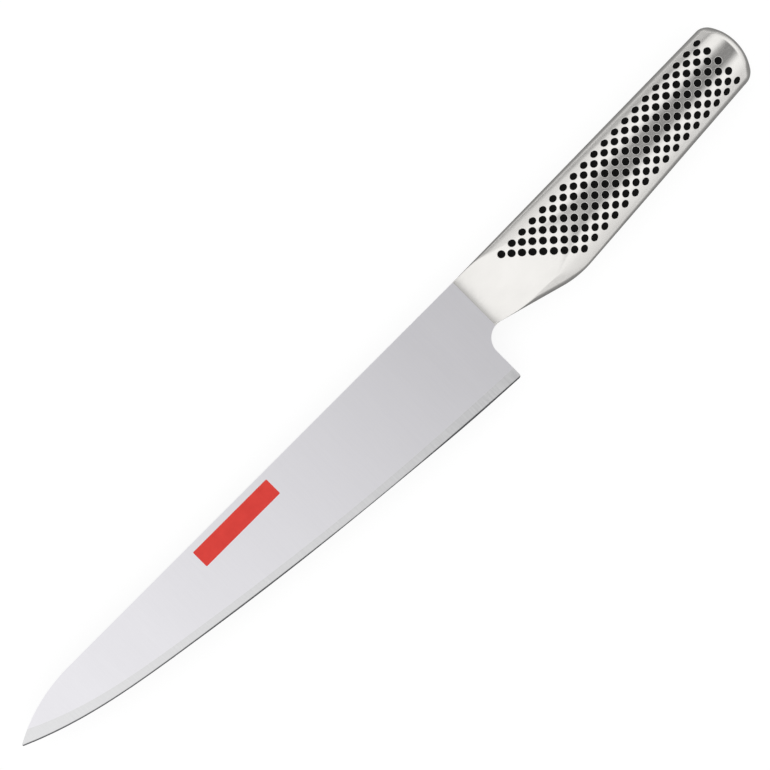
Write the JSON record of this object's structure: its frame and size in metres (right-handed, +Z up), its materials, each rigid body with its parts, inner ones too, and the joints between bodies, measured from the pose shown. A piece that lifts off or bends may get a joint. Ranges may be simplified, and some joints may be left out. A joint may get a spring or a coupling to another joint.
{
  "type": "fillet knife",
  "caption": "Flexible fillet knife: slim flat-ground steel blade with a finger notch, welded into a hollow oval steel handle with rows of round dimples.",
  "frame": {"origin": "on the table, under the middle of the knife's overall length and width, with the knife lying on its side", "axes": "+X from the tip to the butt, +Y from the cutting edge to the spine, +Z up through the blade's thickness"},
  "size_m": [0.336, 0.0404, 0.0178],
  "materials": {
    "blade_steel": "fine satin grind, polished bevel along the edge",
    "handle_steel": "polished stainless steel",
    "sand": "fine dry sand",
    "dimple_enamel": "black enamel coating in the dimples",
    "red_mark": "red printed patch"
  },
  "bodies": {
    "root": {"blade": "blade_steel", "handle_upper_half": "handle_steel", "handle_lower_half": "handle_steel", "fill_plug": "handle_steel", "sand_fill": "sand"}
  },
  "joints": []
}
